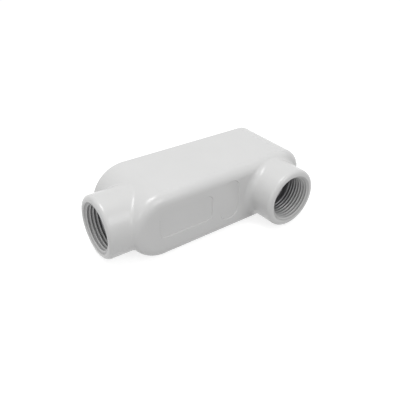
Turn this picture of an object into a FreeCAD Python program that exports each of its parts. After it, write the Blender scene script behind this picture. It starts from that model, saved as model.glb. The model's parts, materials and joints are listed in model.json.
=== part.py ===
import FreeCAD, Part
import math
import os
import Sketcher

# LB conduit body for three-quarter-inch threaded conduit: one hollow casting.
#
# The casting lies on a side wall.  X runs along the body, from the end hub to the far end.
# Y points out of the cover opening, so the cover seat is the plane Y = 0 and the back hub points
# to -Y.  Z is up, across the width.  The origin lies on the cover seat, midway between the two
# cover screws.  All lengths are in millimetres and all angles in degrees.

SIZES = (
    ("body_length", 112.2, "length of the body at the cover seat, without the end hub"),
    ("body_width", 36.6, "width of the body at the cover seat"),
    ("body_depth", 41.5, "from the cover seat to the back face"),
    ("far_corner_radius", 14.0, "outline corners at the far end; the hub end is a half round"),
    ("back_edge_radius", 5.6, "rounding between the back face and the walls"),
    ("draft_angle", 0.6, "casting draft of the walls and the hubs"),
    ("wall_thickness", 3.4, "side walls, far end wall and back wall"),
    ("cavity_corner_radius", 3.6, "corners of the cavity at the hub end"),
    ("cavity_floor_bevel", 2.0, "bevel between the cavity floor and its walls"),
    ("hub_inset", 1.8, "side of each hub's mouth inside the side of the body"),
    ("hub_rim_radius", 2.3, "outer rounding of the hub mouths"),
    ("end_hub_reach", 10.0, "end hub mouth beyond the end of the body"),
    ("end_hub_setback", 2.8, "side of the end hub's mouth from the plane of the back face"),
    ("end_root_radius", 2.4, "fillet at the foot of the end hub"),
    ("back_hub_station", 23.7, "back hub axis from the far end"),
    ("back_root_radius", 3.7, "fillet at the foot of the back hub"),
    ("bore_diameter", 26.0, "threaded bores, at the root of the thread"),
    ("thread_depth", 16.2, "from a hub mouth to the stop shoulder"),
    ("mouth_chamfer", 0.5, "lead-in of the threaded bores"),
    ("throat_diameter", 19.0, "smooth throat behind each thread"),
    ("throat_length", 3.4, "length of each throat"),
    ("throat_bevel", 1.5, "bevel of both ends of each throat"),
    ("screw_inset", 6.7, "cover screws from the ends of the body"),
    ("screw_hole_diameter", 3.5, "tapped hole of a cover screw"),
    ("screw_hole_floor", 2.7, "metal between the hub end's screw hole and the foot of its boss"),
    ("boss_diameter", 9.8, "cover screw bosses"),
    ("boss_root_bevel", 1.2, "bevels between the bosses and the end walls"),
    ("hub_boss_clearance", 0.7, "from the foot of the hub end's boss to the throat below it"),
    ("panel_depth", 0.6, "depth of the cast panels in the back face"),
    ("panel_slope", 35.0, "slope of the edges of the panels"),
    ("panel_offset", 1.5, "panels above the middle of the back face"),
    ("long_panel_start", 14.8, "long panel from the hub end of the body"),
    ("long_panel_length", 32.3, "long panel along the body"),
    ("long_panel_width", 14.9, "long panel across the body"),
    ("long_panel_radius", 3.2, "corners of the long panel"),
    ("short_panel_start", 52.5, "short panel from the hub end of the body"),
    ("short_panel_length", 12.4, "short panel along the body"),
    ("short_panel_width", 23.2, "short panel across the body"),
    ("short_panel_radius", 5.4, "corners of the short panel"),
)

TOUCH = 0.01  # two places closer than this are the same place
FILLET_SHARE = 0.94  # the most of its wall that a fillet may take


# Sizes that stay tied to the sheet

class Size:
    """A length or an angle together with the expression that ties it to the sheet."""

    def __init__(self, value, text):
        self.value = value
        self.text = text

    def join(self, sign, other, value):
        """The size that an arithmetic sign makes of this size and another one or a number."""
        return Size(value, "(%s %s %s)" % (self.text, sign, as_size(other).text))

    def __add__(self, other):
        return self.join("+", other, self.value + as_size(other).value)

    def __sub__(self, other):
        return self.join("-", other, self.value - as_size(other).value)

    def __mul__(self, other):
        return self.join("*", other, self.value * as_size(other).value)

    def __truediv__(self, other):
        return self.join("/", other, self.value / as_size(other).value)

    def __neg__(self):
        return Size(-self.value, "(0 - %s)" % self.text)


def as_size(value):
    """A bare number as a Size, and a Size as it is."""
    if isinstance(value, Size):
        return value
    return Size(float(value), repr(float(value)))


def smaller_of(first, second):
    """The smaller of two sizes, such as a fillet and the room that its wall leaves it."""
    return Size(min(first.value, second.value), "min(%s; %s)" % (first.text, second.text))


def tangent_of(angle):
    """The tangent of an angle."""
    return Size(math.tan(math.radians(angle.value)), "tan(%s * 1 deg)" % angle.text)


def make_sheet(doc):
    """Write the driving dimensions to a spreadsheet, and return them by name."""
    sheet = doc.addObject("Spreadsheet::Sheet", "Sizes")
    named = {}
    for row, (name, value, meaning) in enumerate(SIZES, start=1):
        sheet.set("A%d" % row, name)
        sheet.set("B%d" % row, str(value))
        sheet.set("C%d" % row, meaning)
        sheet.setAlias("B%d" % row, name)
        named[name] = Size(value, "Sizes." + name)
    doc.recompute()
    return named


# Sketches

def new_sketch(body, name, plane_role, offset=None):
    """An empty sketch on one of the body's origin planes, or at an offset from it."""
    sketch = body.newObject("Sketcher::SketchObject", name)
    plane = next(item for item in body.Origin.OriginFeatures if item.Role == plane_role)
    sketch.AttachmentSupport = [(plane, "")]
    sketch.MapMode = "FlatFace"
    if offset is not None:
        sketch.setExpression("AttachmentOffset.Base.z", offset.text)
    return sketch


def constrain(sketch, name, kind, references, size):
    """Add a named dimension and bind it to the sheet."""
    index = sketch.addConstraint(Sketcher.Constraint(kind, *references, size.value))
    sketch.renameConstraint(index, name)
    sketch.setExpression("Constraints." + name, size.text)


def place(sketch, name, geometry, point, across, along):
    """Fix a point of the sketch at its two distances from the sketch's origin."""
    for axis, kind, size in ((-2, "DistanceX", across), (-1, "DistanceY", along)):
        size = as_size(size)
        if size.value == 0:
            sketch.addConstraint(Sketcher.Constraint("PointOnObject", geometry, point, axis))
        elif size.value > 0:
            constrain(sketch, name + kind[-1], kind, (-1, 1, geometry, point), size)
        else:
            constrain(sketch, name + kind[-1], kind, (geometry, point, -1, 1), -size)


def line(start, end):
    """A straight line between two pairs of Sizes."""
    ends = [FreeCAD.Vector(across.value, along.value, 0) for across, along in (start, end)]
    return Part.LineSegment(*ends)


def arc(centre, radius, start, end):
    """An anticlockwise arc about a pair of Sizes, from one quarter turn to another."""
    middle = FreeCAD.Vector(centre[0].value, centre[1].value, 0)
    circle = Part.Circle(middle, FreeCAD.Vector(0, 0, 1), radius.value)
    return Part.ArcOfCircle(circle, start * math.pi / 2, end * math.pi / 2)


def closed_chain(sketch, shapes, smooth):
    """Add lines and arcs end to end; smooth says which of them run smoothly into the next."""
    sketch.addGeometry(list(shapes))
    count = len(shapes)
    for index in range(count):
        kind = "Tangent" if index in smooth else "Coincident"
        sketch.addConstraint(Sketcher.Constraint(kind, index, 2, (index + 1) % count, 1))


def level(sketch, horizontal=(), vertical=()):
    """Keep lines of the sketch horizontal or vertical."""
    for index in horizontal:
        sketch.addConstraint(Sketcher.Constraint("Horizontal", index))
    for index in vertical:
        sketch.addConstraint(Sketcher.Constraint("Vertical", index))


def polygon(sketch, corners):
    """A closed polygon whose corners are pairs of Sizes."""
    sides = [line(corner, following) for corner, following in zip(corners, corners[1:] + corners[:1])]
    closed_chain(sketch, sides, smooth=())
    for index, corner in enumerate(corners):
        place(sketch, "corner%d" % index, index, 1, *corner)


def rounded_outline(sketch, left, right, bottom, top, left_radius, right_radius):
    """A rectangle with rounded corners, with one radius for each end."""
    x0, x1 = left + left_radius, right - right_radius
    low_left, high_left = bottom + left_radius, top - left_radius
    low_right, high_right = bottom + right_radius, top - right_radius
    closed_chain(sketch, (
        line((x0, bottom), (x1, bottom)),
        arc((x1, low_right), right_radius, 3, 4),
        line((right, low_right), (right, high_right)),
        arc((x1, high_right), right_radius, 0, 1),
        line((x1, top), (x0, top)),
        arc((x0, high_left), left_radius, 1, 2),
        line((left, high_left), (left, low_left)),
        arc((x0, low_left), left_radius, 2, 3),
    ), smooth=range(8))
    level(sketch, horizontal=(0, 4), vertical=(2, 6))
    sketch.addConstraint(Sketcher.Constraint("Equal", 1, 3))
    sketch.addConstraint(Sketcher.Constraint("Equal", 5, 7))
    constrain(sketch, "rightRadius", "Radius", (1,), right_radius)
    constrain(sketch, "leftRadius", "Radius", (5,), left_radius)
    place(sketch, "right", 1, 3, x1, low_right)
    place(sketch, "left", 5, 3, x0, high_left)


def half_round_outline(sketch, left, right, half_width, right_radius):
    """An outline about the X axis: half round on the left, with two corners on the right."""
    x0, x1 = left + half_width, right - right_radius
    edge, centre = half_width - right_radius, as_size(0)
    closed_chain(sketch, (
        line((x0, -half_width), (x1, -half_width)),
        arc((x1, -edge), right_radius, 3, 4),
        line((right, -edge), (right, edge)),
        arc((x1, edge), right_radius, 0, 1),
        line((x1, half_width), (x0, half_width)),
        arc((x0, centre), half_width, 1, 3),
    ), smooth=range(6))
    level(sketch, horizontal=(0, 4), vertical=(2,))
    sketch.addConstraint(Sketcher.Constraint("Equal", 1, 3))
    constrain(sketch, "halfWidth", "Radius", (5,), half_width)
    constrain(sketch, "cornerRadius", "Radius", (1,), right_radius)
    constrain(sketch, "right", "DistanceX", (-1, 1, 2, 1), right)
    place(sketch, "roundEnd", 5, 3, x0, centre)


def lug_outline(sketch, centre, radius, root):
    """A boss that grows out of an end wall: half round at its screw, with straight sides."""
    faces_left = root.value > centre.value
    foot, head = (radius, -radius) if faces_left else (-radius, radius)
    turn = (1, 3) if faces_left else (3, 5)
    closed_chain(sketch, (
        arc((centre, as_size(0)), radius, *turn),
        line((centre, -foot), (root, -foot)),
        line((root, -foot), (root, -head)),
        line((root, -head), (centre, -head)),
    ), smooth=(0, 3))
    level(sketch, horizontal=(1, 3), vertical=(2,))
    constrain(sketch, "bossRadius", "Radius", (0,), radius)
    place(sketch, "screw", 0, 3, centre, 0)
    if root.value > 0:
        constrain(sketch, "root", "DistanceX", (-1, 1, 2, 1), root)
    else:
        constrain(sketch, "root", "DistanceX", (2, 1, -1, 1), -root)


# Features

def finish(body, feature, sense=0):
    """Make a feature the tip, and stop if it failed or moved the volume the wrong way."""
    body.Tip = feature
    body.Document.recompute()
    if feature.Shape.isNull() or not feature.Shape.isValid():
        raise RuntimeError(feature.Name + " has no valid shape")
    before = feature.BaseFeature.Shape.Volume if feature.BaseFeature else 0
    if sense and (feature.Shape.Volume - before) * sense <= 0:
        raise RuntimeError(feature.Name + " moved the volume the wrong way")


def extrude(body, kind, name, sketch, length, narrowing=None, reverse=False):
    """A Pad or a Pocket, with an angle by which it narrows on its way."""
    feature = body.newObject("PartDesign::" + kind, name)
    feature.Profile = sketch
    feature.Reversed = reverse
    feature.setExpression("Length", length.text)
    if narrowing is not None:
        feature.setExpression("TaperAngle", (-narrowing).text)
    finish(body, feature, sense=1 if kind == "Pad" else -1)


def revolve(body, kind, name, sketch):
    """A Revolution or a Groove, a full turn about the sketch's construction line."""
    feature = body.newObject("PartDesign::" + kind, name)
    feature.Profile = sketch
    feature.ReferenceAxis = (sketch, ["Axis0"])
    feature.Angle = 360
    finish(body, feature, sense=1 if kind == "Revolution" else -1)


def dress(body, kind, name, size, wanted):
    """A Fillet or a Chamfer on the edges that a test wants."""
    base = body.Tip
    numbered = enumerate(base.Shape.Edges, start=1)
    names = ["Edge%d" % number for number, edge in numbered if wanted(edge)]
    if not names:
        raise RuntimeError(name + " finds no edge")
    feature = body.newObject("PartDesign::" + kind, name)
    feature.Base = (base, names)
    feature.setExpression("Radius" if kind == "Fillet" else "Size", size.text)
    finish(body, feature)


def spans(edge, measure, low, high):
    """True when every point of an edge measures between two limits."""
    return all(low <= measure(point) <= high for point in edge.discretize(9))


def keeps(edge, measure, value):
    """True when every point of an edge measures the same value."""
    return spans(edge, measure, value - TOUCH, value + TOUCH)


def is_round(edge):
    return not isinstance(edge.Curve, Part.Line)


# The two hubs

class Hub:
    """A hub: the way its axis runs, its place, its mouth, the end of its core and its radii."""

    def __init__(self, name, runs_along, axis, mouth, core_end, radius, root_radius):
        self.name = name
        self.runs_along = runs_along
        self.axis = axis
        self.mouth = mouth
        self.core_end = core_end
        self.radius = radius
        self.root_radius = root_radius

    def corner(self, along, radius):
        """A corner of a profile, at a place along the axis and a distance from it."""
        if self.runs_along == "X":
            return (along, self.axis + radius)
        return (self.axis + radius, along)

    def radius_of(self, point):
        """Distance of a point from the axis."""
        across = point.y if self.runs_along == "X" else point.x
        return math.hypot(across - self.axis.value, point.z)

    def depth_of(self, point):
        """Distance of a point behind the mouth."""
        along = point.x if self.runs_along == "X" else point.y
        return along - self.mouth.value


def hub_profile(body, hub, name, stations):
    """A sketch through a hub's axis; each station is a place along it with a radius."""
    sketch = new_sketch(body, name, "XY_Plane")
    first, last = stations[0][0], stations[-1][0]
    corners = [hub.corner(first, 0)]
    corners += [hub.corner(along, radius) for along, radius in stations]
    corners.append(hub.corner(last, 0))
    polygon(sketch, corners)
    axis = sketch.addGeometry(line(corners[0], corners[-1]), True)
    sketch.addConstraint(Sketcher.Constraint("Coincident", axis, 1, 0, 1))
    sketch.addConstraint(Sketcher.Constraint("Coincident", axis, 2, len(corners) - 1, 1))
    body.Document.recompute()
    return sketch


def add_hub(body, hub, size):
    """A drafted hub, solid for now, with its root fillet and its rounded rim."""
    foot_radius = hub.radius + (hub.core_end - hub.mouth) * tangent_of(size["draft_angle"])
    stations = ((hub.mouth, hub.radius), (hub.core_end, foot_radius))
    profile = hub_profile(body, hub, hub.name + "HubProfile", stations)
    revolve(body, "Revolution", hub.name + "Hub", profile)

    def is_root(edge):
        on_hub = spans(edge, hub.radius_of, hub.radius.value, foot_radius.value + TOUCH)
        return is_round(edge) and on_hub and spans(edge, hub.depth_of, TOUCH, math.inf)

    mouth_wall = hub.radius - size["bore_diameter"] / 2 - size["mouth_chamfer"]
    rim_radius = smaller_of(size["hub_rim_radius"], mouth_wall * FILLET_SHARE)
    dress(body, "Fillet", hub.name + "HubRoot", hub.root_radius, is_root)
    dress(body, "Fillet", hub.name + "HubRim", rim_radius, lambda edge: keeps(edge, hub.depth_of, 0))


def cut_bore(body, hub, size):
    """The threaded bore of a hub, its stop shoulder and its smooth throat."""
    bore_radius, throat_radius = size["bore_diameter"] / 2, size["throat_diameter"] / 2
    shoulder = hub.mouth + size["thread_depth"]
    opening = shoulder + size["throat_length"] + size["throat_bevel"]
    stations = ((hub.mouth, bore_radius), (shoulder, bore_radius),
                (shoulder, throat_radius), (opening, throat_radius))
    revolve(body, "Groove", hub.name + "Bore", hub_profile(body, hub, hub.name + "BoreProfile", stations))
    dress(body, "Chamfer", hub.name + "Mouth", size["mouth_chamfer"],
          lambda edge: keeps(edge, hub.depth_of, 0) and keeps(edge, hub.radius_of, bore_radius.value))
    dress(body, "Chamfer", hub.name + "Throat", size["throat_bevel"],
          lambda edge: is_round(edge) and keeps(edge, hub.radius_of, throat_radius.value))


# The casting, in the order in which its features build on each other

def add_block(body, size):
    """The body's outline, drawn back from the cover seat with draft, with a rounded back edge."""
    half_length, depth = size["body_length"] / 2, size["body_depth"]
    outline = new_sketch(body, "BodyOutline", "XZ_Plane")
    half_round_outline(outline, -half_length, half_length, size["body_width"] / 2,
                       size["far_corner_radius"])
    body.Document.recompute()
    extrude(body, "Pad", "BodyBlock", outline, depth, narrowing=size["draft_angle"])
    dress(body, "Fillet", "BackEdge", size["back_edge_radius"],
          lambda edge: keeps(edge, lambda point: point.y, -depth.value))


def cut_cavity(body, size, start, depth):
    """The cavity behind the cover opening, with a bevelled floor."""
    half_length, wall = size["body_length"] / 2, size["wall_thickness"]
    half_width = size["body_width"] / 2 - wall
    beside_throat = half_width - size["throat_diameter"] / 2 - size["throat_bevel"]
    corner_radius = smaller_of(size["cavity_corner_radius"], beside_throat * FILLET_SHARE)
    corner_at_floor = corner_radius - depth * tangent_of(size["draft_angle"])
    floor_bevel = smaller_of(size["cavity_floor_bevel"], corner_at_floor * FILLET_SHARE)
    outline = new_sketch(body, "CavityOutline", "XZ_Plane")
    rounded_outline(outline, start, half_length - wall, -half_width, half_width,
                    corner_radius, size["far_corner_radius"] - wall)
    body.Document.recompute()
    extrude(body, "Pocket", "Cavity", outline, depth, narrowing=size["draft_angle"], reverse=True)
    dress(body, "Chamfer", "CavityFloor", floor_bevel,
          lambda edge: keeps(edge, lambda point: point.y, -depth.value))


def add_bosses(body, size, cavity_start, cavity_depth, hub_boss_depth):
    """A cover screw boss at each end: one above the end hub, one down the far end wall."""
    wall, radius = size["wall_thickness"], size["boss_diameter"] / 2
    half_length = size["body_length"] / 2
    station = half_length - size["screw_inset"]
    bosses = (
        ("HubBoss", -station, cavity_start - radius, hub_boss_depth),
        ("FarBoss", station, half_length - wall / 2, cavity_depth + wall / 4),
    )
    for name, centre, root, length in bosses:
        outline = new_sketch(body, name + "Outline", "XZ_Plane")
        lug_outline(outline, centre, radius, root)
        body.Document.recompute()
        extrude(body, "Pad", name, outline, length)

    walls = (cavity_start.value, (half_length - wall).value)

    def is_foot(edge):
        on_wall = any(spans(edge, lambda point: abs(point.x - wall_place), 0, radius.value / 8)
                      for wall_place in walls)
        beside = spans(edge, lambda point: abs(point.z), radius.value / 2, radius.value + TOUCH)
        return on_wall and beside and edge.BoundBox.YLength > radius.value

    dress(body, "Chamfer", "BossRoots", size["boss_root_bevel"], is_foot)


def cut_screw_holes(body, size, depth):
    """The two cover screw holes."""
    station = size["body_length"] / 2 - size["screw_inset"]
    diameter = size["screw_hole_diameter"]
    centres = new_sketch(body, "ScrewPlaces", "XZ_Plane")
    for name, centre in (("hubScrew", -station), ("farScrew", station)):
        middle = FreeCAD.Vector(centre.value, 0, 0)
        circle = Part.Circle(middle, FreeCAD.Vector(0, 0, 1), diameter.value / 2)
        index = centres.addGeometry(circle)
        constrain(centres, name + "Diameter", "Diameter", (index,), diameter)
        place(centres, name, index, 3, centre, 0)
    body.Document.recompute()
    holes = body.newObject("PartDesign::Hole", "ScrewHoles")
    holes.Profile = centres
    holes.Reversed = True
    holes.Threaded = False
    holes.DepthType = "Dimension"
    holes.DrillPoint = "Flat"
    holes.setExpression("Diameter", diameter.text)
    holes.setExpression("Depth", depth.text)
    finish(body, holes, sense=-1)


def cut_panels(body, size):
    """The two bare, shallow cast panels in the back face."""
    for kind in ("long", "short"):
        start = size[kind + "_panel_start"] - size["body_length"] / 2
        end = start + size[kind + "_panel_length"]
        half = size[kind + "_panel_width"] / 2
        radius = size[kind + "_panel_radius"]
        middle = size["panel_offset"]
        name = kind.capitalize() + "Panel"
        outline = new_sketch(body, name + "Outline", "XZ_Plane", offset=size["body_depth"])
        rounded_outline(outline, start, end, middle - half, middle + half, radius, radius)
        body.Document.recompute()
        extrude(body, "Pocket", name, outline, size["panel_depth"], narrowing=size["panel_slope"])


def build_casting(doc, size):
    """The whole casting as one PartDesign body."""
    half_length, half_width = size["body_length"] / 2, size["body_width"] / 2
    cavity_depth = size["body_depth"] - size["wall_thickness"]
    plug_length = size["thread_depth"] + size["throat_length"]
    end_mouth = -half_length - size["end_hub_reach"]
    cavity_start = end_mouth + plug_length
    hub_radius = half_width - size["hub_inset"]
    end_axis_depth = size["body_depth"] - size["end_hub_setback"] - hub_radius
    end_hub_foot = half_width - half_length
    end_foot_radius = hub_radius + (end_hub_foot - end_mouth) * tangent_of(size["draft_angle"])
    end_root_room = (end_axis_depth - end_foot_radius) * FILLET_SHARE
    throat_reach = size["throat_diameter"] / 2 + size["throat_bevel"]
    hub_boss_depth = end_axis_depth - throat_reach - size["hub_boss_clearance"]
    hubs = (
        Hub("End", "X", -end_axis_depth, end_mouth, end_hub_foot, hub_radius,
            smaller_of(size["end_root_radius"], end_root_room)),
        Hub("Back", "Y", half_length - size["back_hub_station"], -cavity_depth - plug_length,
            -cavity_depth, hub_radius, size["back_root_radius"]),
    )
    body = doc.addObject("PartDesign::Body", "conduit_body")
    body.Label = "conduit_body"
    body.Placement = FreeCAD.Placement()
    add_block(body, size)
    for hub in hubs:
        add_hub(body, hub, size)
    cut_cavity(body, size, cavity_start, cavity_depth)
    add_bosses(body, size, cavity_start, cavity_depth, hub_boss_depth)
    for hub in hubs:
        cut_bore(body, hub, size)
    cut_screw_holes(body, size, hub_boss_depth - size["screw_hole_floor"])
    cut_panels(body, size)
    return body


def check_document(doc):
    """Stop if any object of the document failed."""
    for item in doc.Objects:
        if "Invalid" in item.State or "Error" in item.State:
            raise RuntimeError("%s is %s" % (item.Name, item.State))


def write_part(body):
    """Write a sub-part's STEP file under its node's name."""
    shape = body.Shape
    if shape.isNull() or not shape.isValid():
        raise RuntimeError(body.Label + " has no valid shape")
    os.makedirs("parts", exist_ok=True)
    shape.exportStep("parts/%s.step" % body.Label)
    print("%s: %d solid, %.0f cubic millimetres" % (body.Label, len(shape.Solids), shape.Volume))


doc = FreeCAD.newDocument("ConduitBody")
casting = build_casting(doc, make_sheet(doc))
doc.recompute()
check_document(doc)
write_part(casting)
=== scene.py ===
import json
import math

import bmesh
import bpy
from mathutils import Matrix, Vector


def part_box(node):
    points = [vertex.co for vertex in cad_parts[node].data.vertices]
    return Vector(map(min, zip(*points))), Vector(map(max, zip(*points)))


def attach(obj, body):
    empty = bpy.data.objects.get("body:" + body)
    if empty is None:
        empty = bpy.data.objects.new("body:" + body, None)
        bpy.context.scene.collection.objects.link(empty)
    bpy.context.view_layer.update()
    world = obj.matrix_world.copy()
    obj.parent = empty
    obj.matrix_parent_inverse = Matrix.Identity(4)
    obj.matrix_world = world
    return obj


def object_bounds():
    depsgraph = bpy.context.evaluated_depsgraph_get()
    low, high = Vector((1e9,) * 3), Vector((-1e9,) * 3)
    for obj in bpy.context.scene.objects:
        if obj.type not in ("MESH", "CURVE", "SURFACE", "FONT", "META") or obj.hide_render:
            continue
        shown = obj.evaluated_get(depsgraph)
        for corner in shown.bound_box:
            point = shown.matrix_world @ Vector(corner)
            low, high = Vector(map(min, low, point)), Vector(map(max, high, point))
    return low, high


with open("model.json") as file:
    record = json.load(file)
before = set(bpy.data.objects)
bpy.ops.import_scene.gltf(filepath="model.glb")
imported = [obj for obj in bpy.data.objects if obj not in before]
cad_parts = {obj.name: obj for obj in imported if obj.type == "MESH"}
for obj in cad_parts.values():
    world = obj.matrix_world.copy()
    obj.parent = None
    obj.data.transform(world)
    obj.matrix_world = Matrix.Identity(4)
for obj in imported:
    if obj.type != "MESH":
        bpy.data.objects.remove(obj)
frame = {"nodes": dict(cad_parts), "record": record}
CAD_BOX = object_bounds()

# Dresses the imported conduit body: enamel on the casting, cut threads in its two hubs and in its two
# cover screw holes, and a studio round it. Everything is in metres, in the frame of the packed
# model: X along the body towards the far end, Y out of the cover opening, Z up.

bl_info = {
    "name": "Conduit body",
    "version": (1, 0, 0),
    "blender": (4, 5, 0),
    "location": "3D View > Sidebar > Conduit body",
    "description": "Enamel, threads and a studio for a cast conduit body",
    "category": "Object",
}

MM = 0.001
CASTING = "conduit_body"
MOUNTS = {mount["name"]: mount for mount in frame["record"]["mounts"]}
HUB_CHAMFER = 0.5 * MM  # bevel at the mouth of each hub's bore
UNTHREADED = 1 * MM  # plain wall left between a hub's thread and the shoulder behind it
MOSTLY = 0.5  # past this share, a direction lies along an axis


# Places that the frame gives

class Bore:
    """A round hole: the middle of its mouth, the way in, its radius, and its chamfer and depth.

    A depth is given only to a hole whose wall has a finish of its own.
    """

    def __init__(self, mouth, inward, radius, chamfer=0.0, depth=None):
        self.mouth = Vector(mouth)
        self.inward = Vector(inward)
        self.radius = radius
        self.chamfer = chamfer
        self.depth = depth

    def wall(self, depth):
        """Radius of the wall at a depth, with the chamfer at the mouth."""
        return self.radius + max(self.chamfer - depth, 0.0)

    def axes(self):
        """Two directions across the bore that make a right-handed set with the way in."""
        first = Vector((0, 0, 1)) if abs(self.inward.z) < MOSTLY else Vector((1, 0, 0))
        second = self.inward.cross(first)
        return first, second


def hub_bore(name):
    """The threaded bore of a hub, from its mount and from the casting's box."""
    mount = MOUNTS[name]
    outward = Vector(mount["axis"])
    mouth = Vector(mount["pos_m"])
    low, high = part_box(CASTING)
    for axis in range(3):
        if outward[axis] < -MOSTLY:
            mouth[axis] = low[axis]
        elif outward[axis] > MOSTLY:
            mouth[axis] = high[axis]
    dims = mount["dims"]
    depth = HUB_CHAMFER + dims["length_mm"] * MM
    return Bore(mouth, -outward, dims["r_mm"] * MM, HUB_CHAMFER, depth)


def screw_bores():
    """The two cover screw holes, from their bolt pattern."""
    mount = MOUNTS["cover_screws"]
    reach = mount["dims"]["spacing_x_mm"] * MM / 2
    centre, outward = Vector(mount["pos_m"]), Vector(mount["axis"])
    radius = mount["dims"]["hole_r_mm"] * MM
    return {
        "hub_end": Bore(centre - Vector((reach, 0, 0)), -outward, radius),
        "far_end": Bore(centre + Vector((reach, 0, 0)), -outward, radius),
    }


HUB_BORES = {"end_hub": hub_bore("end_hub"), "back_hub": hub_bore("back_hub")}


# Settings that a user would change

class EnamelSettings(bpy.types.PropertyGroup):
    colour: bpy.props.FloatVectorProperty(
        name="Colour", description="Colour of the enamel",
        subtype="COLOR", size=3, min=0, max=1, default=(0.705, 0.705, 0.702))
    # Bare metal made dark as painted shade: the colour that the hub bores turn to deep inside.
    metal: bpy.props.FloatVectorProperty(
        name="Cut metal", description="Colour of the metal where the threads are cut",
        subtype="COLOR", size=3, min=0, max=1, default=(0.25, 0.25, 0.26))
    # Bare metal and painted shade: the hub bores darken with depth and reach the dark metal colour at
    # this depth.
    spray_and_shade_reach: bpy.props.FloatProperty(
        name="Spray reach", description="How deep the enamel gets into the threaded bores",
        unit="LENGTH", default=13 * MM)
    # Grime and painted shade: how much the thread grooves are darkened towards their roots, where
    # shade falls.
    groove_grime_and_shade: bpy.props.FloatProperty(
        name="Dust", description="How much darker the grooves of the hub threads are",
        subtype="FACTOR", min=0, max=1, default=0.3)
    roughness: bpy.props.FloatProperty(
        name="Roughness", description="Roughness of the enamel",
        subtype="FACTOR", min=0, max=1, default=0.24)
    mottle: bpy.props.FloatProperty(
        name="Mottle", description="How far the enamel's lightness drifts over the casting",
        subtype="FACTOR", min=0, max=0.2, default=0.03)
    peel_size: bpy.props.FloatProperty(
        name="Peel size", description="Width of the waves in the sprayed enamel",
        unit="LENGTH", default=1.1 * MM)
    peel_depth: bpy.props.FloatProperty(
        name="Peel depth", description="Depth of the waves in the sprayed enamel",
        unit="LENGTH", default=0.012 * MM)
    grain_size: bpy.props.FloatProperty(
        name="Grain size", description="Width of the grain that the mould leaves under the enamel",
        unit="LENGTH", default=0.28 * MM)
    grain_depth: bpy.props.FloatProperty(
        name="Grain depth", description="Depth of the grain that the mould leaves",
        unit="LENGTH", default=0.003 * MM)


class HubThreadSettings(bpy.types.PropertyGroup):
    pitch: bpy.props.FloatProperty(
        name="Pitch", description="From one crest to the next, 14 to the inch",
        unit="LENGTH", default=25.4 * MM / 14)
    crest_radius: bpy.props.FloatProperty(
        name="Crest radius", description="Radius of the crests at the mouth",
        unit="LENGTH", default=11.83 * MM)
    taper: bpy.props.FloatProperty(
        name="Taper", description="How much the crest radius shrinks over a length",
        default=1 / 32)
    crest_width: bpy.props.FloatProperty(
        name="Crest width", description="Flat on each crest",
        unit="LENGTH", default=0.22 * MM)
    start: bpy.props.FloatProperty(
        name="Start", description="First turn behind the mouth",
        unit="LENGTH", default=0.15 * MM)
    mouth_slope: bpy.props.FloatProperty(
        name="Mouth slope", description="How steeply the lead-in cuts the first turn", default=2.2)
    end: bpy.props.FloatProperty(
        name="End", description="Last turn behind the mouth",
        unit="LENGTH", default=HUB_BORES["end_hub"].depth - UNTHREADED)


class ScrewThreadSettings(bpy.types.PropertyGroup):
    pitch: bpy.props.FloatProperty(
        name="Pitch", description="From one crest to the next, 32 to the inch",
        unit="LENGTH", default=25.4 * MM / 32)
    crest_radius: bpy.props.FloatProperty(
        name="Crest radius", description="Radius of the crests",
        unit="LENGTH", default=1.5 * MM)
    taper: bpy.props.FloatProperty(
        name="Taper", description="How much the crest radius shrinks over a length",
        default=0.0)
    crest_width: bpy.props.FloatProperty(
        name="Crest width", description="Flat on each crest",
        unit="LENGTH", default=0.1 * MM)
    start: bpy.props.FloatProperty(
        name="Start", description="First turn below the cover seat",
        unit="LENGTH", default=0.15 * MM)
    mouth_slope: bpy.props.FloatProperty(
        name="Mouth slope", description="How steeply the lead-in cuts the first turn", default=1.0)
    end: bpy.props.FloatProperty(
        name="End", description="Last turn below the cover seat",
        unit="LENGTH", default=7.2 * MM)


class StageSettings(bpy.types.PropertyGroup):
    floor_size: bpy.props.FloatProperty(
        name="Floor size", description="Side of the floor", unit="LENGTH", default=3.0)
    floor_colour: bpy.props.FloatVectorProperty(
        name="Floor colour", description="Colour of the floor",
        subtype="COLOR", size=3, min=0, max=1, default=(0.50, 0.50, 0.50))
    floor_glow: bpy.props.FloatProperty(
        name="Floor glow", description="What makes the floor white to the eye, but lights nothing",
        min=0, default=0.77)
    sky: bpy.props.FloatProperty(
        name="Room light", description="Light that comes from all round", min=0, default=0.49)
    azimuth: bpy.props.FloatProperty(
        name="Azimuth", description="Way the camera stands round the casting",
        subtype="ANGLE", default=math.radians(-37.53))
    elevation: bpy.props.FloatProperty(
        name="Elevation", description="Height of the camera as an angle",
        subtype="ANGLE", default=math.radians(32.07))
    roll: bpy.props.FloatProperty(
        name="Roll", description="Turn of the camera about its own axis",
        subtype="ANGLE", default=math.radians(1.587))
    distance: bpy.props.FloatProperty(
        name="Distance", description="From the camera to the point that it looks at",
        unit="LENGTH", default=246.4 * MM)
    aim: bpy.props.FloatVectorProperty(
        name="Aim", description="The point that the camera looks at",
        subtype="XYZ", size=3, unit="LENGTH", default=(-8.86 * MM, -30.13 * MM, -0.07 * MM))
    focal_length: bpy.props.FloatProperty(
        name="Focal length", description="Focal length of the lens on a 36 mm wide sensor",
        unit="CAMERA", default=41.55)


# Materials

WHITE = (1.0, 1.0, 1.0, 1.0)
MASK_SLACK = 0.03 * MM  # how far a mask reaches past the wall that it marks
GROOVE_SHARE = 0.8  # share of a thread's height over which grime and painted shade darken its grooves
SPRAY_WANDER = 2 * MM  # how unevenly the enamel gives way to bare metal and painted shade in a thread

# Widths of what varies: the enamel's drift and specks, and the metal's tears and film of oil
DRIFT_WIDTH = 22 * MM
SPECK_WIDTH = 0.9 * MM
TEAR_WIDTH = 0.35 * MM
FILM_WIDTH = 3.5 * MM

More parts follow.
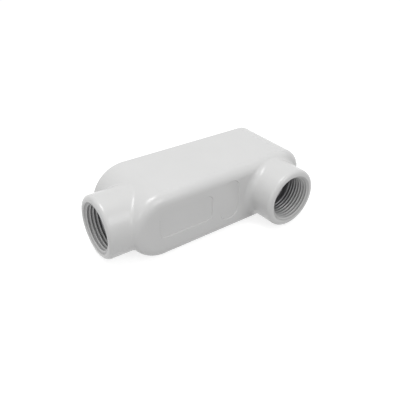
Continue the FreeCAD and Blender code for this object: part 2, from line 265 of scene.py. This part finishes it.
# Enamel, and what each thing adds to its roughness
ENAMEL_IOR = 1.5
SPECK_SHADE = 0.012  # how much darker a speck is
DRIFT_ROUGHENS = 0.10
SPECK_ROUGHENS = 0.06
BARE_ROUGHENS = 0.2

# Hub threads
BARE_METALLIC = 0.6
TORN_SHADE = 0.8  # how light torn metal is beside smooth metal
THREAD_TEARS = 0.006 * MM  # depth of the tears
THREAD_ROUGHNESS = 0.28
THREAD_FILM_ROUGHENS = 0.10
GROOVE_ROUGHENS = 0.2

# Screw threads
TAPPED_COLOUR = (0.50, 0.50, 0.51)
OILED_COLOUR = (0.36, 0.36, 0.36)
TAPPED_METALLIC = 0.75
TAPPED_TEARS = 0.01 * MM  # depth of the tears
TAPPED_ROUGHNESS = 0.32
TAPPED_FILM_ROUGHENS = 0.16


class Socket:
    """A node's output with arithmetic on it. Each sum, product or comparison adds a Math node."""

    def __init__(self, nodes, output):
        self.nodes = nodes
        self.output = output

    def __add__(self, other):
        return self.nodes.math("ADD", self, other)

    def __radd__(self, other):
        return self.nodes.math("ADD", other, self)

    def __sub__(self, other):
        return self.nodes.math("SUBTRACT", self, other)

    def __rsub__(self, other):
        return self.nodes.math("SUBTRACT", other, self)

    def __mul__(self, other):
        return self.nodes.math("MULTIPLY", self, other)

    def __rmul__(self, other):
        return self.nodes.math("MULTIPLY", other, self)

    def __truediv__(self, other):
        return self.nodes.math("DIVIDE", self, other)

    def __rtruediv__(self, other):
        return self.nodes.math("DIVIDE", other, self)

    def __lt__(self, other):
        return self.nodes.math("LESS_THAN", self, other)


class Nodes:
    """The nodes of a material or of a world, made one at a time."""

    def __init__(self, owner, ending):
        owner.use_nodes = True
        self.tree = owner.node_tree
        self.tree.nodes.clear()
        self.ending = self.node(ending)

    def node(self, kind, settings=None, inputs=None):
        """A node of a type, with its settings first and then its sockets."""
        node = self.tree.nodes.new(kind)
        for name, value in (settings or {}).items():
            setattr(node, name, value)
        for name, value in (inputs or {}).items():
            if isinstance(value, Socket):
                self.tree.links.new(value.output, node.inputs[name])
            else:
                node.inputs[name].default_value = value
        return node

    def add(self, kind, settings=None, inputs=None, output=0):
        """The output of a new node as a Socket."""
        return Socket(self, self.node(kind, settings, inputs).outputs[output])

    def math(self, operation, *values):
        """A Math node on values, some of which are Sockets."""
        return self.add("ShaderNodeMath", {"operation": operation}, dict(enumerate(values)))

    def mix(self, factor, first, second):
        """One colour where a mask is 0 and another where it is 1."""
        return self.add("ShaderNodeMix", {"data_type": "RGBA"},
                        {0: factor, 6: rgba(first), 7: rgba(second)}, output=2)

    def noise(self, place, width, detail=2.0):
        """Noise from 0 to 1 whose lumps have a width."""
        return self.add("ShaderNodeTexNoise", {},
                        {"Vector": place, "Scale": 1 / width, "Detail": detail})

    def bump(self, height):
        """The normal of a surface with a height in metres."""
        return self.add("ShaderNodeBump", {}, {"Strength": 1.0, "Distance": 1.0, "Height": height})

    def surface(self, shader):
        """End the nodes in a shader."""
        self.tree.links.new(shader.output, self.ending.inputs["Surface"])


class Finish(Nodes):
    """A new material."""

    def __init__(self, name):
        self.material = bpy.data.materials.new(name)
        super().__init__(self.material, "ShaderNodeOutputMaterial")


def rgba(colour):
    """A colour with the fourth value that a socket wants."""
    return colour if isinstance(colour, Socket) else (*colour[:3], 1.0)


def read_bore(finish, place, bore):
    """How deep a place lies in a bore, and how far it lies from the bore's axis."""
    from_mouth = finish.add("ShaderNodeVectorMath", {"operation": "SUBTRACT"},
                            {0: place, 1: bore.mouth})
    depth, first, second = (
        finish.add("ShaderNodeVectorMath", {"operation": "DOT_PRODUCT"},
                   {0: from_mouth, 1: direction}, output="Value")
        for direction in (bore.inward, *bore.axes()))
    return depth, finish.math("SQRT", first * first + second * second)


def bareness_and_shade(finish, depth, settings):
    """0 at a bore's mouth, where the enamel is whole, to 1 deep in, where the wall is bare metal under
    painted shade.
    """
    share = finish.math("MINIMUM", depth / settings.spray_and_shade_reach, 1.0)
    return share * share


def bare_and_shaded_wall(finish, place, bore, settings):
    """How bare and how deeply shaded (painted shade) a bore's threaded wall is, and 0 everywhere else.
    """
    depth, from_axis = read_bore(finish, place, bore)
    inside = (from_axis < bore.radius + MASK_SLACK) * (depth < bore.depth + MASK_SLACK)
    return inside * bareness_and_shade(finish, depth, settings)


def add_all(sockets):
    """The sum of several sockets."""
    total = sockets[0]
    for socket in sockets[1:]:
        total = total + socket
    return total


def make_enamel(settings):
    """Sprayed enamel on a casting, with bare metal and painted shade deeper in the hubs' bored and
    threaded walls.
    """
    finish = Finish("light_grey_enamel")
    place = finish.add("ShaderNodeTexCoord", output="Object")
    # The hub bores darken with depth to a dark metal colour: bare metal and painted shade.
    cut = add_all([bare_and_shaded_wall(finish, place, bore, settings) for bore in HUB_BORES.values()])
    drift = finish.noise(place, DRIFT_WIDTH)
    speck = finish.noise(place, SPECK_WIDTH, detail=3.0)
    lightness = 1 - 2 * settings.mottle * (1 - drift) - SPECK_SHADE * speck
    enamel = finish.add("ShaderNodeVectorMath", {"operation": "SCALE"},
                        {0: tuple(settings.colour), "Scale": lightness})
    colour = finish.mix(cut, enamel, settings.metal)
    roughness = (settings.roughness + DRIFT_ROUGHENS * (drift - 0.5)
                 + SPECK_ROUGHENS * (speck - 0.5) + BARE_ROUGHENS * cut)
    waves = finish.noise(place, settings.peel_size, detail=1.0)
    grain = finish.noise(place, settings.grain_size, detail=3.0)
    height = waves * settings.peel_depth + grain * settings.grain_depth
    finish.surface(finish.add("ShaderNodeBsdfPrincipled", {}, {
        "Base Color": colour,
        "Metallic": BARE_METALLIC * cut,
        "Roughness": roughness,
        "Normal": finish.bump(height),
        "IOR": ENAMEL_IOR,
    }))
    return finish.material


def make_tapped_metal():
    """Aluminium as a tap leaves it, with fine tears and a film of oil."""
    finish = Finish("tapped_aluminium")
    place = finish.add("ShaderNodeTexCoord", output="Object")
    tears = finish.noise(place, TEAR_WIDTH, detail=4.0)
    film = finish.noise(place, FILM_WIDTH)
    finish.surface(finish.add("ShaderNodeBsdfPrincipled", {}, {
        "Base Color": finish.mix(film, TAPPED_COLOUR, OILED_COLOUR),
        "Metallic": TAPPED_METALLIC,
        "Roughness": TAPPED_ROUGHNESS + TAPPED_FILM_ROUGHENS * film,
        "Normal": finish.bump(tears * TAPPED_TEARS),
    }))
    return finish.material


def make_sprayed_thread(name, bore, thread, settings):
    """A hub's thread: enamel near the mouth, bare metal and painted shade deeper in, and grime and
    painted shade in the grooves.
    """
    finish = Finish(name)
    place = finish.add("ShaderNodeTexCoord", output="Object")
    depth, from_axis = read_bore(finish, place, bore)
    tears = finish.noise(place, TEAR_WIDTH, detail=4.0)
    film = finish.noise(place, FILM_WIDTH)
    # Deeper in, the thread turns to a dark metal colour: bare metal and painted shade.
    bare = bareness_and_shade(finish, depth + SPRAY_WANDER * film, settings)
    crest = thread.crest_radius - thread.taper * depth
    groove_height = GROOVE_SHARE * (bore.radius - crest)
    groove = finish.math("MINIMUM", (from_axis - crest) / groove_height, 1.0)
    metal = finish.mix(tears, settings.metal, [TORN_SHADE * part for part in settings.metal])
    clean = finish.mix(bare, settings.colour, metal)
    # Grime and painted shade: the grooves are darkened towards their roots.
    shade = 1 - settings.groove_grime_and_shade * groove
    grimed_and_shaded = finish.add("ShaderNodeVectorMath", {"operation": "SCALE"}, {0: clean, "Scale": shade})
    finish.surface(finish.add("ShaderNodeBsdfPrincipled", {}, {
        "Base Color": grimed_and_shaded,
        "Metallic": BARE_METALLIC * bare,
        "Roughness": THREAD_ROUGHNESS + THREAD_FILM_ROUGHENS * film + GROOVE_ROUGHENS * groove,
        "Normal": finish.bump(tears * THREAD_TEARS),
    }))
    return finish.material


# Meshes

HUB_STEPS = 120  # steps in a turn of a hub's thread
SCREW_STEPS = 48  # steps in a turn of a screw thread
FLANK = math.tan(math.radians(30))  # slope of a thread's flanks
EDGE_SHARE = 0.3  # share of a half crest that its rounded edge takes
FOOT_GAP = 0.02 * MM  # left free at each side of a ridge's foot
BURIED = 0.05 * MM  # how deep the foot of a ridge lies in its wall
MOUTH_GAP = 0.02 * MM  # how far behind the mouth a ridge starts
RUN_OUT_TURNS = 1 / 3  # part of the last turn over which a thread fades away
MERGE_DISTANCE = 0.001 * MM
SHARP_EDGE = math.radians(35)


def keep(piece, material):
    """Finish a new piece: its material and the body that it rides on."""
    piece.data.materials.append(material)
    bpy.context.scene.collection.objects.link(piece)
    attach(piece, "root")


def ridge_section(pitch, base_radius, crest_radius, crest_width, strength):
    """Corners of a ridge's section: places along the bore and radii, for a strength of 0 to 1."""
    widest = pitch / 2 - FOOT_GAP
    half_crest = crest_width / 2
    crest = base_radius - (base_radius - crest_radius) * strength
    root = min(crest + (widest - half_crest) / FLANK, base_radius)
    half_root = half_crest + (root - crest) * FLANK
    edge = EDGE_SHARE * half_crest
    return (
        (-widest, base_radius + BURIED),
        (-half_root, root),
        (-half_crest - edge, crest + edge),
        (-half_crest + edge, crest),
        (half_crest - edge, crest),
        (half_crest + edge, crest + edge),
        (half_root, root),
        (widest, base_radius + BURIED),
    )


def trim_to_mouth(section, depth, bore, slope):
    """A ridge's section at a depth, without what stands out of the mouth or of the mouth's cone."""
    trimmed = []
    for along, radius in section:
        place = max(depth + along, MOUTH_GAP)
        cone = bore.wall(0.0) - place * slope
        sunk = radius > bore.radius
        trimmed.append((place, bore.wall(place) + BURIED if sunk else max(radius, cone)))
    return trimmed


def thread_mesh(name, bore, settings, steps_per_turn):
    """A right-handed ridge wound on a bore's wall, cut off by the mouth and run out inside."""
    first, second = bore.axes()
    turns = (settings.end - settings.start) / settings.pitch
    count = round(turns * steps_per_turn)
    run_out = steps_per_turn * RUN_OUT_TURNS
    mesh = bmesh.new()
    rings = []
    for step in range(count + 1):
        turned = 2 * math.pi * step / steps_per_turn
        depth = settings.start + settings.pitch * step / steps_per_turn
        strength = min(1.0, (count - step + 1) / run_out)
        crest_radius = settings.crest_radius - settings.taper * depth
        direction = first * math.cos(turned) + second * math.sin(turned)
        section = ridge_section(settings.pitch, bore.radius, crest_radius, settings.crest_width,
                                math.sin(strength * math.pi / 2))
        corners = trim_to_mouth(section, depth, bore, settings.mouth_slope)
        rings.append([mesh.verts.new(bore.mouth + bore.inward * along + direction * radius)
                      for along, radius in corners])
    sides = len(rings[0])
    for ring, following in zip(rings, rings[1:]):
        for index in range(sides):
            after = (index + 1) % sides
            mesh.faces.new((ring[index], ring[after], following[after], following[index]))
    mesh.faces.new(rings[0])
    mesh.faces.new(reversed(rings[-1]))
    bmesh.ops.remove_doubles(mesh, verts=mesh.verts, dist=MERGE_DISTANCE)
    bmesh.ops.recalc_face_normals(mesh, faces=mesh.faces)
    data = bpy.data.meshes.new(name)
    mesh.to_mesh(data)
    mesh.free()
    data.shade_smooth()
    data.set_sharp_from_angle(angle=SHARP_EDGE)
    return data


# Operators

class PaintCasting(bpy.types.Operator):
    """Spray the casting with enamel, with bare metal and painted shade deep in its bored and threaded
    walls
    """

    bl_idname = "conduit.paint_casting"
    bl_label = "Paint casting"

    def execute(self, context):
        casting = frame["nodes"][CASTING]
        casting.data.materials.clear()
        casting.data.materials.append(make_enamel(context.scene.enamel))
        return {"FINISHED"}


class CutHubThreads(bpy.types.Operator):
    """Cut the conduit threads of the two hubs"""

    bl_idname = "conduit.cut_hub_threads"
    bl_label = "Cut hub threads"

    def execute(self, context):
        for name, bore in HUB_BORES.items():
            piece_name = name + "_thread"
            thread = context.scene.hub_thread
            mesh = thread_mesh(piece_name, bore, thread, HUB_STEPS)
            finish = make_sprayed_thread(piece_name + "_finish", bore, thread, context.scene.enamel)
            keep(bpy.data.objects.new(piece_name, mesh), finish)
        return {"FINISHED"}


class CutScrewThreads(bpy.types.Operator):
    """Cut the threads of the two cover screw holes"""

    bl_idname = "conduit.cut_screw_threads"
    bl_label = "Cut screw threads"

    def execute(self, context):
        metal = make_tapped_metal()
        for name, bore in screw_bores().items():
            piece_name = name + "_screw_thread"
            mesh = thread_mesh(piece_name, bore, context.scene.screw_thread, SCREW_STEPS)
            keep(bpy.data.objects.new(piece_name, mesh), metal)
        return {"FINISHED"}


class SetStage(bpy.types.Operator):
    """Set the floor, the lamps and the camera"""

    bl_idname = "conduit.set_stage"
    bl_label = "Set stage"

    def execute(self, context):
        settings = context.scene.stage
        context.scene.view_settings.view_transform = "Standard"
        lay_floor(settings)
        light_room(context.scene, settings)
        hang_lamps()
        place_camera(context.scene, settings)
        return {"FINISHED"}


def lay_floor(settings):
    """A plain pale floor under the casting, white to look at but with its shadow."""
    mesh = bmesh.new()
    bmesh.ops.create_grid(mesh, x_segments=1, y_segments=1, size=settings.floor_size / 2)
    data = bpy.data.meshes.new("floor")
    mesh.to_mesh(data)
    mesh.free()
    floor = bpy.data.objects.new("floor", data)
    floor.location.z = CAD_BOX[0].z
    finish = Finish("floor_paper")
    paper = finish.add("ShaderNodeBsdfDiffuse", {}, {"Color": rgba(settings.floor_colour)})
    glow = finish.add("ShaderNodeEmission", {}, {"Color": WHITE, "Strength": settings.floor_glow})
    glowing = finish.add("ShaderNodeAddShader", {}, {0: paper, 1: glow})
    finish.surface(finish.add("ShaderNodeMixShader", {}, {0: looked_at(finish), 1: paper, 2: glowing}))
    data.materials.append(finish.material)
    bpy.context.scene.collection.objects.link(floor)


def looked_at(nodes):
    """1 where the camera looks, straight or by a reflection or through glass, and 0 for light."""
    path = nodes.node("ShaderNodeLightPath")
    straight, mirrored, through = (
        Socket(nodes, path.outputs[name])
        for name in ("Is Camera Ray", "Is Glossy Ray", "Is Transmission Ray"))
    return nodes.math("MAXIMUM", straight, nodes.math("MAXIMUM", mirrored, through))


def light_room(scene, settings):
    """Even light from all round, in front of which the background is white."""
    scene.world = bpy.data.worlds.new("room")
    nodes = Nodes(scene.world, "ShaderNodeOutputWorld")
    room = nodes.add("ShaderNodeBackground", {}, {"Color": WHITE, "Strength": settings.sky})
    backdrop = nodes.add("ShaderNodeBackground", {}, {"Color": WHITE, "Strength": 1.0})
    nodes.surface(nodes.add("ShaderNodeMixShader", {}, {0: looked_at(nodes), 1: room, 2: backdrop}))


LAMPS = (
    # name, place, side of its square, power in watts
    ("top_softbox", (-0.1, 0.04, 0.6), 0.28, 1.64),
    ("front_softbox", (0.08, -0.52, 0.42), 0.3, 0.63),
    ("left_softbox", (-0.46, -0.3, 0.26), 0.24, 0.26),
)


def hang_lamps():
    """Square softboxes that face the casting."""
    middle = (CAD_BOX[0] + CAD_BOX[1]) / 2
    for name, place, side, power in LAMPS:
        light = bpy.data.lights.new(name, "AREA")
        light.shape = "SQUARE"
        light.size = side
        light.energy = power
        lamp = bpy.data.objects.new(name, light)
        lamp.location = place
        lamp.rotation_euler = (Vector(place) - middle).to_track_quat("Z", "Y").to_euler()
        bpy.context.scene.collection.objects.link(lamp)


NEAREST_SEEN = 10 * MM


def place_camera(scene, settings):
    """The camera, on a line through its aim."""
    azimuth, elevation = settings.azimuth, settings.elevation
    back = Vector((math.sin(azimuth) * math.cos(elevation),
                   -math.cos(azimuth) * math.cos(elevation),
                   math.sin(elevation)))
    right = Vector((math.cos(azimuth), math.sin(azimuth), 0))
    level = Matrix((right, back.cross(right), back)).transposed()
    turn = (level @ Matrix.Rotation(settings.roll, 3, "Z")).to_4x4()
    data = bpy.data.cameras.new("camera")
    data.lens = settings.focal_length
    data.clip_start = NEAREST_SEEN
    camera = bpy.data.objects.new("camera", data)
    stand = Vector(settings.aim) + back * settings.distance
    camera.matrix_world = Matrix.Translation(stand) @ turn
    scene.collection.objects.link(camera)
    scene.camera = camera


class MakingPanel(bpy.types.Panel):
    """The steps and their settings, in the order in which they are done"""

    bl_idname = "VIEW3D_PT_conduit_body"
    bl_label = "Conduit body"
    bl_space_type = "VIEW_3D"
    bl_region_type = "UI"
    bl_category = "Conduit body"

    def draw(self, context):
        for operator, group in STEPS:
            box = self.layout.box()
            box.operator(operator.bl_idname)
            settings = getattr(context.scene, group)
            for name in settings.__annotations__:
                box.prop(settings, name)


GROUPS = {
    "enamel": EnamelSettings,
    "hub_thread": HubThreadSettings,
    "screw_thread": ScrewThreadSettings,
    "stage": StageSettings,
}
STEPS = (
    (PaintCasting, "enamel"),
    (CutHubThreads, "hub_thread"),
    (CutScrewThreads, "screw_thread"),
    (SetStage, "stage"),
)
CLASSES = (*GROUPS.values(), *(operator for operator, group in STEPS), MakingPanel)


def register():
    for made in CLASSES:
        bpy.utils.register_class(made)
    for name, group in GROUPS.items():
        setattr(bpy.types.Scene, name, bpy.props.PointerProperty(type=group))


def unregister():
    for name in GROUPS:
        delattr(bpy.types.Scene, name)
    for made in reversed(CLASSES):
        bpy.utils.unregister_class(made)


def main():
    """Make every piece and the stage."""
    register()
    bpy.ops.conduit.paint_casting()
    bpy.ops.conduit.cut_hub_threads()
    bpy.ops.conduit.cut_screw_threads()
    bpy.ops.conduit.set_stage()


if __name__ == "__main__":
    main()
